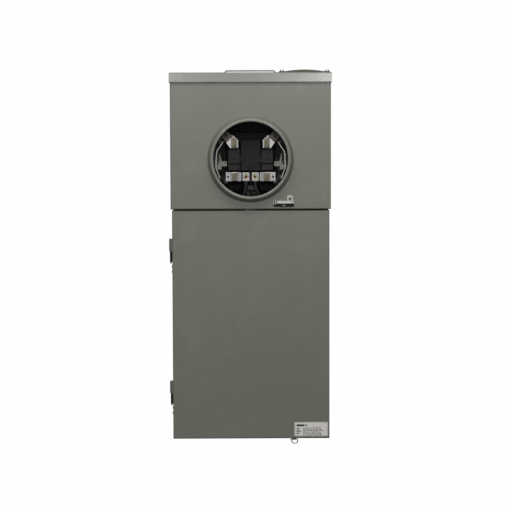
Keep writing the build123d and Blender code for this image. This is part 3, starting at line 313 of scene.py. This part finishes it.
def hub_finish(centre, dome):
    """The hub plate: painted like the box round its edge; a painted reflection over the pressed dome,
    near black in the middle and lighter towards the rim.
    """
    s = Shader("hub_finish", specular=0.06)
    from_centre = s.vector_math("SUBTRACT", s.place, centre)[0]
    level = s.vector_math("MULTIPLY", from_centre, (1.0, 1.0, 0.0))[0]
    reach = s.vector_math("LENGTH", level)["Value"]
    wavy = s.math("ADD", reach, s.range(s.noise(160.0, 3.0), 0.3, 0.7, -0.0008, 0.0008))
    dome_area = s.range(wavy, dome + 0.0006, dome - 0.0006, 0.0, 1.0)
    rust = s.noise(150.0, 5.0, 0.65)
    # Painted reflection: near black with a random tint, lighter towards the rim, for the dark
    # surroundings the dome mirrors.
    painted_reflection = s.mix(s.range(rust, 0.4, 0.7, 0.0, 1.0), (0.008, 0.007, 0.005), (0.026, 0.019, 0.011))
    painted_reflection = s.mix(s.range(reach, 0.3 * dome, 0.95 * dome, 0.0, 0.8), painted_reflection, (0.085, 0.078, 0.056))
    mottle = s.range(s.noise(60.0, 3.0), 0.3, 0.7, 0.0, 1.0)
    paint = s.mix(mottle, (0.120, 0.124, 0.098), (0.136, 0.140, 0.114))
    s.link(s.mix(dome_area, paint, painted_reflection), "Base Color")
    s.link(s.range(rust, 0.3, 0.7, 0.42, 0.62), "Roughness")
    s.link(s.bump(s.noise(1300.0, 3.0), 0.00005, 0.6, s.edge(0.0005)[1]), "Normal")
    return s.material


def jacket(name="cable_jacket"):
    """Black cable insulation with faint drawing marks and dust."""
    s = Shader(name, specular=0.4)
    marks = s.noise(1.0, 3.0, 0.6, vector=s.scaled(900.0, 900.0, 60.0))
    body = s.mix(s.range(marks, 0.4, 0.75, 0.0, 1.0), (0.008, 0.008, 0.008), (0.020, 0.020, 0.019))
    s.link(body, "Base Color")
    s.link(s.range(marks, 0.3, 0.7, 0.34, 0.50), "Roughness")
    s.link(s.bump(marks, 0.00008, 0.6), "Normal")
    return s.material


def foil(name="label_foil", colour=(0.70, 0.68, 0.63)):
    """Silver polyester label stock: brushed sheen, small bubbles and scuffs."""
    s = Shader(name, metallic=0.15)
    scuff = s.noise(220.0, 4.0, 0.6)
    s.link(s.mix(s.range(scuff, 0.35, 0.65, 0.0, 1.0), tinted(colour, 0.86), colour), "Base Color")
    brushed = s.noise(1.0, 2.0, 0.5, vector=s.scaled(80.0, 80.0, 4200.0))
    s.link(s.range(brushed, 0.3, 0.7, 0.34, 0.50), "Roughness")
    s.link(s.bump(s.noise(130.0, 2.0), 0.00006, 0.3), "Normal")
    return s.material


def ink(name="label_ink", colour=(0.030, 0.030, 0.032)):
    """Printed ink with a slightly patchy cover."""
    s = Shader(name, specular=0.4)
    patch = s.noise(900.0, 3.0, 0.6)
    s.link(s.mix(s.range(patch, 0.4, 0.7, 0.0, 1.0), colour, tinted(colour, 1.9)), "Base Color")
    s.link(s.range(patch, 0.3, 0.7, 0.42, 0.58), "Roughness")
    s.link(s.bump(patch, 0.00001, 0.4), "Normal")
    return s.material


def card_stock(name="card_stock", colour=(0.66, 0.65, 0.60)):
    """Pale card: paper fibre, slight yellowing and a soft surface."""
    s = Shader(name, specular=0.25)
    fibre = s.noise(900.0, 4.0, 0.6)
    aged = s.mix(s.range(s.noise(9.0, 3.0), 0.35, 0.7, 0.0, 0.5), colour, (0.58, 0.54, 0.44))
    s.link(s.mix(s.range(fibre, 0.35, 0.7, 0.0, 0.25), aged, (0.72, 0.71, 0.67)), "Base Color")
    s.link(s.range(fibre, 0.3, 0.7, 0.62, 0.80), "Roughness")
    s.link(s.bump(fibre, 0.00002, 0.5), "Normal")
    return s.material


def floor_material():
    """Matt pale grey paper with faint clouding."""
    s = Shader("studio_floor", specular=0.1)
    cloud = s.noise(0.7, 2.0)
    body = s.mix(s.range(cloud, 0.3, 0.7, 0.0, 1.0), (0.86, 0.86, 0.86), (0.90, 0.90, 0.90))
    s.link(body, "Base Color")
    s.bsdf.inputs["Roughness"].default_value = 0.85
    return s.material


MATERIALS = {
    "enclosure_paint": enamel(),
    "zinc_plate": zinc(),
    "dark_steel": dark_steel(),
    "black_moulding": moulding(),
    "handle_moulding": moulding("toggle_moulding", (0.014, 0.014, 0.014), 0.30),
    "aluminium": extruded(),
    "tin_plated_copper": tinned(),
    "brass": brass(),
    "label_foil": foil(),
    "cable_jacket": jacket(),
}


def dress_frame():
    """Give every CAD node the material of its slot."""
    slots = {row["node"]: row["material_slot"] for row in frame["record"]["subparts"]}
    for name, thing in NODES.items():
        thing.data.materials.clear()
        thing.data.materials.append(MATERIALS[slots[name]])


def dress_apart(finish, *names):
    for name in names:
        NODES[name].data.materials[0] = finish


def dress_varied_nodes():
    """Finishes that change over one node: painted shade inside the upper section, on the line terminals,
    the neutral lug and the back of the insulating block, and a painted reflection on the hub dome.
    """
    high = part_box("enclosure_wrapper")[1]
    box_enamel_shaded_inside = enamel("box_enamel", inner=(high.x - INNER_SKIN, UPPER_FLOOR_Z))
    dress_apart(box_enamel_shaded_inside, "enclosure_wrapper")
    block = moulding("block_moulding", (0.013, 0.0127, 0.012), specular=0.06, deep=BLOCK_SHADE_Y)
    dress_apart(block, "insulating_block")
    across, upward = 0.70, 0.72
    line = extruded("line_terminal_aluminium", stain_and_shade=(across, upward, upward * RING_Z + SHADE_REACH))
    dress_apart(line, "line_terminal_left", "line_terminal_right")
    dress_apart(extruded("neutral_lug_aluminium", stain_and_shade=(0.0, 1.0, LUG_SHADE_Z)), "neutral_lug")
    low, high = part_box("hub_closing_plate")
    centre = ((low.x + high.x) / 2, (low.y + high.y) / 2, 0.0)
    dress_apart(hub_finish(centre, HUB_DOME_R), "hub_closing_plate")


dress_frame()
dress_varied_nodes()


# ---------------------------------------------------------------------------
# Added pieces
# ---------------------------------------------------------------------------

STRAND_TURN = 0.085            # height over which a strand goes once round
STRAND_STEPS = 8               # steps along a strand
BEAD_R = 0.0015                # half width of the rolled bead
BEAD_DEPTH = 0.0016            # half depth of the bead
HEM_R = 0.0009                 # radius of the hem of the rain cap
HEM_STEPS = 40
PRINT_RISE = 0.00004           # print in front of the label
PRINT_SINK = 0.00002           # print let into the label
DOOR_SHEET = 0.0016            # sheet of the door, with a hair of air
CARD_X = 0.085                 # half width of the circuit card
CARD_LOW = -0.25
CARD_HIGH = 0.02
CARD_THICK = 0.00025
CARD_LINE = 0.0005             # width of a ruled line
SOCKET_RISE = 0.00012          # a painted-shade disc in front of its screw
SOCKET_THICK = 0.0003
WIDE_SCREW_R = 0.0045          # screws wider than this have a hexagon socket
END_SCREW_X = 0.0522           # small screws at the outer ends of the lower terminals
END_SCREW_R = 0.0023


def add_piece(name, bm, body, material, smooth=True):
    """Make an object of a bmesh, on one body and with one finish."""
    bmesh.ops.recalc_face_normals(bm, faces=bm.faces)
    mesh = bpy.data.meshes.new(name)
    bm.to_mesh(mesh)
    bm.free()
    for face in mesh.polygons:
        face.use_smooth = smooth
    mesh.materials.append(material)
    piece = bpy.data.objects.new(name, mesh)
    bpy.context.scene.collection.objects.link(piece)
    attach(piece, body)
    return piece


def bridge(bm, first, second):
    """Faces between two closed rings of the same count."""
    count = len(first)
    for step in range(count):
        after = (step + 1) % count
        bm.faces.new((first[step], first[after], second[after], second[step]))


def add_tube(bm, points, radius, sides=8):
    """A round tube through points, closed at both ends."""
    rings = []
    for index, point in enumerate(points):
        ahead = points[min(index + 1, len(points) - 1)] - points[max(index - 1, 0)]
        turn = ahead.to_track_quat("Z", "Y")
        ring = []
        for step in range(sides):
            angle = 2 * math.pi * step / sides
            around = Vector((math.cos(angle), math.sin(angle), 0.0)) * radius
            ring.append(bm.verts.new(point + turn @ around))
        rings.append(ring)
    for first, second in zip(rings, rings[1:]):
        bridge(bm, first, second)
    bm.faces.new(rings[0])
    bm.faces.new(rings[-1])


def add_ring(bm, centre, outline, steps=180):
    """A closed outline of (radius, y) points turned about an axis along Y."""
    rings = []
    for step in range(steps):
        angle = 2 * math.pi * step / steps
        out = Vector((math.cos(angle), 0.0, math.sin(angle)))
        rings.append([bm.verts.new(centre + out * r + Vector((0.0, y, 0.0))) for r, y in outline])
    for index in range(steps):
        bridge(bm, rings[index], rings[(index + 1) % steps])


def add_block(bm, low, high, bevel=0.0):
    """A block between two corners, with its edges rounded where a bevel is given."""
    size = Vector(high) - Vector(low)
    middle = (Vector(high) + Vector(low)) / 2
    matrix = Matrix.Translation(middle) @ Matrix.Diagonal((*size, 1.0))
    made = bmesh.ops.create_cube(bm, size=1.0, matrix=matrix)
    if bevel:
        edges = {edge for vert in made["verts"] for edge in vert.link_edges}
        bmesh.ops.bevel(bm, geom=list(edges), offset=bevel, segments=2, profile=0.5, affect="EDGES")


def node_islands(name):
    """The lowest and highest corner of each separate solid in a CAD node."""
    bm = bmesh.new()
    bm.from_mesh(NODES[name].data)
    bmesh.ops.remove_doubles(bm, verts=bm.verts, dist=0.00001)
    left = set(bm.verts)
    boxes = []
    while left:
        group = [left.pop()]
        for vert in group:
            for edge in vert.link_edges:
                other = edge.other_vert(vert)
                if other in left:
                    left.remove(other)
                    group.append(other)
        low = Vector([min(v.co[axis] for v in group) for axis in range(3)])
        high = Vector([max(v.co[axis] for v in group) for axis in range(3)])
        boxes.append((low, high))
    bm.free()
    return sorted(boxes, key=lambda box: (box[0].z, box[0].x))


def strand_points(x, y, low, high, radius, phase):
    """The middle line of one strand, laid round an upright axis."""
    points = []
    for step in range(STRAND_STEPS + 1):
        z = low + (high - low) * step / STRAND_STEPS
        angle = phase + 2 * math.pi * z / STRAND_TURN
        points.append(Vector((x + radius * math.cos(angle), y + radius * math.sin(angle), z)))
    return points


def stranded_ends():
    """Each stripped end as nineteen laid strands."""
    bm = bmesh.new()
    for low, high in node_islands("bare_conductors"):
        x, y = (low.x + high.x) / 2, (low.y + high.y) / 2
        strand = (high.x - low.x) / 10
        for layer, count in ((0.0, 1), (2.0, 6), (4.0, 12)):
            for index in range(count):
                phase = 2 * math.pi * index / count
                points = strand_points(x, y, low.z, high.z, layer * strand, phase)
                add_tube(bm, points, strand * 0.99)
    piece = add_piece("stranded_conductors", bm, "box", strand_metal())
    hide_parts("bare_conductors")


def collar_bead():
    """The rolled bead round the front edge of the meter opening."""
    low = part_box("meter_cover")[0]
    centre = Vector((0.0, low.y + BEAD_DEPTH, RING_Z))
    middle = BORE_R + 0.9 * BEAD_R
    sides = 14
    outline = []
    for step in range(sides):
        angle = 2 * math.pi * step / sides
        outline.append((middle + BEAD_R * math.cos(angle), BEAD_DEPTH * math.sin(angle)))
    bm = bmesh.new()
    add_ring(bm, centre, outline)
    # Painted highlight: the bead's enamel is a lighter copy of the box enamel, with less roughness.
    paint = enamel("bead_enamel_painted_highlight", base=(0.150, 0.154, 0.126), rough=0.26)
    add_piece("collar_bead", bm, "cover", paint)


def cap_hem():
    """The half-round hem along the lower front edge of the rain cap."""
    low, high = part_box("rain_cap")
    bm = bmesh.new()
    reach = high.x - 0.0012
    points = []
    for step in range(HEM_STEPS + 1):
        x = -reach + 2 * reach * step / HEM_STEPS
        points.append(Vector((x, low.y + 0.0004, low.z + 0.0014)))
    add_tube(bm, points, HEM_R, sides=12)
    add_piece("cap_hem", bm, "box", MATERIALS["enclosure_paint"])


def label_print():
    """Generic print on the rating label: a heading bar, rows of short bars and a ruled box."""
    low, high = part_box("rating_label")
    wide, tall = high.x - low.x, high.z - low.z
    dice = random.Random(11)
    bm = bmesh.new()

    def bar(u0, u1, v0, v1):
        """A printed bar between two parts of the label's width and two of its height."""
        add_block(bm, (low.x + wide * u0, low.y - PRINT_RISE, low.z + tall * v0),
                  (low.x + wide * u1, low.y + PRINT_SINK, low.z + tall * v1))

    bar(0.06, 0.30, 0.70, 0.84)
    bar(0.33, 0.37, 0.70, 0.84)
    for row in range(4):
        v = 0.52 - 0.12 * row
        bar(0.06, 0.10 + 0.10 * dice.random(), v, v + 0.06)
    for row in range(6):
        v = 0.56 - 0.10 * row
        u = 0.26
        while u < 0.78:
            length = 0.02 + 0.06 * dice.random()
            bar(u, min(u + length, 0.94), v, v + 0.05)
            u += length + 0.014 + 0.01 * dice.random()
    for v in (0.03, 0.955):
        bar(0.02, 0.98, v, v + 0.014)
    for u in (0.02, 0.974):
        bar(u, u + 0.006, 0.03, 0.969)
    add_piece("label_print", bm, "door", ink(), smooth=False)


def door_card():
    """A plain circuit card inside the door: a pale sheet with ruled lines."""
    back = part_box("door_panel")[0].y + DOOR_SHEET
    bm = bmesh.new()
    add_block(bm, (-CARD_X, back, CARD_LOW), (CARD_X, back + CARD_THICK, CARD_HIGH), 0.0001)
    add_piece("circuit_card", bm, "door", card_stock())
    bm = bmesh.new()
    top = back + CARD_THICK + PRINT_RISE
    under = back + CARD_THICK - 0.00005
    side = CARD_X - 0.008
    foot, head = CARD_LOW + 0.014, CARD_HIGH - 0.026
    rows = 14
    for row in range(rows + 1):
        z = foot + (head - foot) * row / rows
        add_block(bm, (-side, under, z), (side, top, z + CARD_LINE))
    for x in (-side, -side + 0.016, -0.0003, 0.0157, side - CARD_LINE):
        add_block(bm, (x, under, foot), (x + CARD_LINE, top, head))
    title = CARD_X - 0.05
    add_block(bm, (-title, under, CARD_HIGH - 0.017), (title, top, CARD_HIGH - 0.011))
    card_ink = ink("card_ink", (0.05, 0.05, 0.055))
    add_piece("circuit_card_lines", bm, "door", card_ink, smooth=False)


def hub_gasket():
    """The thin dark gasket between the hub seat and its closing plate, with a squeezed edge."""
    low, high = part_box("hub_pad")
    middle = Vector(((low.x + high.x) / 2, (low.y + high.y) / 2, high.z))
    bm = bmesh.new()
    edge = 0.0006
    inset = 0.009
    turns = 6
    corners = ((high.x - inset, high.y - inset), (low.x + inset, high.y - inset),
               (low.x + inset, low.y + inset), (high.x - inset, low.y + inset))
    points = []
    for index, (x, y) in enumerate(corners):
        for step in range(turns + 1):
            angle = math.pi / 2 * (index + step / turns)
            points.append(Vector((x + inset * math.cos(angle), y + inset * math.sin(angle), high.z)))
    rings = []
    for rise, grow in ((-0.0004, 0.0), (-0.0003, edge), (0.0003, edge), (0.0004, 0.0)):
        ring = []
        for point in points:
            out = (point - middle).normalized()
            ring.append(bm.verts.new(point + out * grow + Vector((0.0, 0.0, rise))))
        rings.append(ring)
    for first, second in zip(rings, rings[1:]):
        bridge(bm, first, second)
    bridge(bm, rings[-1], rings[0])
    add_piece("hub_gasket", bm, "box", MATERIALS["black_moulding"])


def add_disc(bm, centre, radius, thick, sides):
    """A flat disc that faces -Y, with a small chamfer."""
    rings = []
    for grow, y in ((0.0, thick), (0.0, 0.3 * thick), (-0.3 * thick, 0.0)):
        ring = []
        for step in range(sides):
            angle = 2 * math.pi * (step + 0.5) / sides
            out = Vector((math.cos(angle), 0.0, math.sin(angle))) * (radius + grow)
            ring.append(bm.verts.new(centre + out + Vector((0.0, y, 0.0))))
        rings.append(ring)
    for first, second in zip(rings, rings[1:]):
        bridge(bm, first, second)
    bm.faces.new(rings[0])
    bm.faces.new(rings[-1])


def lug_socket_shade():
    """Flat dark discs of painted shade on the lug screws, for the socket recesses and bores; and the
    small dark screws at the outer lower ends.
    """
    bm = bmesh.new()
    for low, high in node_islands("terminal_screws"):
        radius = (high.x - low.x) / 2
        middle = Vector((low.x + radius, low.y - SOCKET_RISE, low.z + radius))
        # Painted shade: a dark hexagon for the socket recess of a wide screw, a wider dark disc over a
        # smaller screw for the shade in its bore.
        if radius > WIDE_SCREW_R:
            add_disc(bm, middle, 0.70 * radius, SOCKET_THICK, 6)
        else:
            add_disc(bm, middle, 1.20 * radius, SOCKET_THICK, 32)
    for name in ("load_terminal_left", "load_terminal_right"):
        corners = [vert.co for vert in NODES[name].data.vertices if abs(vert.co.x) > 0.0485]
        front = min(corner.y for corner in corners) - SOCKET_RISE
        low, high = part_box(name)
        across = math.copysign(END_SCREW_X, corners[0].x)
        add_disc(bm, Vector((across, front, (low.z + high.z) / 2)), END_SCREW_R, SOCKET_THICK, 24)
    add_piece("lug_socket_shade", bm, "box", MATERIALS["dark_steel"], smooth=False)


stranded_ends()
collar_bead()
cap_hem()
label_print()
door_card()
hub_gasket()
lug_socket_shade()


# ---------------------------------------------------------------------------
# Studio
# ---------------------------------------------------------------------------

FLOOR_Z = CAD_BOX[0][2] - 0.58
FLOOR_R = 1.5
FRONT_Y = -0.125               # face of the door
CAMERA_DISTANCE = 4.0
CAMERA_TILT = math.radians(-4.0)
CAMERA_YAW = math.radians(0.4)
CAMERA_AIM_X = 0.0118          # where the camera looks, on the face of the door
CAMERA_AIM_Z = 0.0095
CAMERA_ROLL = math.radians(-0.18)
CAMERA_LENS = 121.9


def make_floor():
    """A wide pale floor below the object; it doesn't throw light back up."""
    mesh = bpy.data.meshes.new("studio_floor")
    bm = bmesh.new()
    bmesh.ops.create_circle(bm, cap_ends=True, segments=96, radius=FLOOR_R)
    bm.to_mesh(mesh)
    bm.free()
    floor = bpy.data.objects.new("studio_floor", mesh)
    floor.location.z = FLOOR_Z
    floor.visible_diffuse = False
    floor.visible_glossy = False
    mesh.materials.append(floor_material())
    bpy.context.scene.collection.objects.link(floor)


def area_light(name, place, aim, size, power):
    """A soft box at a place, turned to its aim."""
    data = bpy.data.lights.new(name, "AREA")
    data.shape = "RECTANGLE"
    data.size, data.size_y = size
    data.energy = power
    lamp = bpy.data.objects.new(name, data)
    lamp.location = place
    lamp.rotation_euler = (Vector(aim) - Vector(place)).to_track_quat("-Z", "Y").to_euler()
    bpy.context.scene.collection.objects.link(lamp)


def make_world(sky=0.31, side=0.28, ground=0.09):
    """White behind the object; for light, a bright sky in front that fades to the sides and below."""
    world = bpy.data.worlds.new("studio")
    world.use_nodes = True
    tree = world.node_tree
    tree.nodes.clear()
    out = tree.nodes.new("ShaderNodeOutputWorld")
    backdrop = tree.nodes.new("ShaderNodeBackground")
    backdrop.inputs["Strength"].default_value = 0.99
    dome = tree.nodes.new("ShaderNodeBackground")
    coords = tree.nodes.new("ShaderNodeTexCoord")
    axes = tree.nodes.new("ShaderNodeSeparateXYZ")
    front = fade_node(tree, (-0.10, -0.75, side, sky))
    height = fade_node(tree, (-0.45, 0.35, 0.0, 1.0))
    level = tree.nodes.new("ShaderNodeMath")
    level.operation = "MULTIPLY_ADD"
    level.inputs[2].default_value = ground
    path = tree.nodes.new("ShaderNodeLightPath")
    pick = tree.nodes.new("ShaderNodeMixShader")
    for node in (backdrop, dome):
        node.inputs["Color"].default_value = (1.0, 1.0, 1.0, 1.0)
    wires = (
        (coords.outputs["Generated"], axes.inputs[0]),
        (axes.outputs["Y"], front.inputs[0]),
        (axes.outputs["Z"], height.inputs[0]),
        (front.outputs[0], level.inputs[0]),
        (height.outputs[0], level.inputs[1]),
        (level.outputs[0], dome.inputs["Strength"]),
        (path.outputs["Is Camera Ray"], pick.inputs[0]),
        (dome.outputs[0], pick.inputs[1]),
        (backdrop.outputs[0], pick.inputs[2]),
        (pick.outputs[0], out.inputs[0]),
    )
    for source, socket in wires:
        tree.links.new(source, socket)
    bpy.context.scene.world = world


def fade_node(tree, numbers):
    """A smooth step: the two ends of the input, then the level at each."""
    fade = tree.nodes.new("ShaderNodeMapRange")
    fade.interpolation_type = "SMOOTHSTEP"
    for index, value in enumerate(numbers):
        fade.inputs[index + 1].default_value = value
    return fade


def make_lights():
    """A wide light above the front, and two small ones that the leaning lip of the cap mirrors."""
    make_world()
    area_light("top_soft", (0.0, -2.2, 3.0), (0.0, -0.1, 0.0), (3.8, 1.1), 82)
    lip_aim = (0.0, -0.1, 0.2)
    lip_size = (0.36, 0.46)
    area_light("left_soft", (-0.56, -2.6, 0.97), lip_aim, lip_size, 14)
    area_light("right_soft", (0.44, -2.6, 0.97), lip_aim, lip_size, 15)


def make_camera():
    """A long lens in front of the door, a little above the middle and a little to the left."""
    data = bpy.data.cameras.new("camera")
    data.sensor_width = 36.0
    data.lens = CAMERA_LENS
    data.clip_end = 50.0
    camera = bpy.data.objects.new("camera", data)
    aim = Vector((CAMERA_AIM_X, FRONT_Y, CAMERA_AIM_Z))
    flat = math.cos(CAMERA_TILT)
    look = Vector((math.sin(CAMERA_YAW) * flat, math.cos(CAMERA_YAW) * flat, math.sin(CAMERA_TILT)))
    camera.location = aim - look * CAMERA_DISTANCE
    turn = look.to_track_quat("-Z", "Y").to_matrix().to_4x4()
    roll = Matrix.Rotation(CAMERA_ROLL, 4, "Z")
    camera.rotation_euler = (turn @ roll).to_euler()
    bpy.context.scene.collection.objects.link(camera)
    bpy.context.scene.camera = camera


make_floor()
make_lights()
make_camera()
bpy.context.scene.view_settings.view_transform = "Standard"
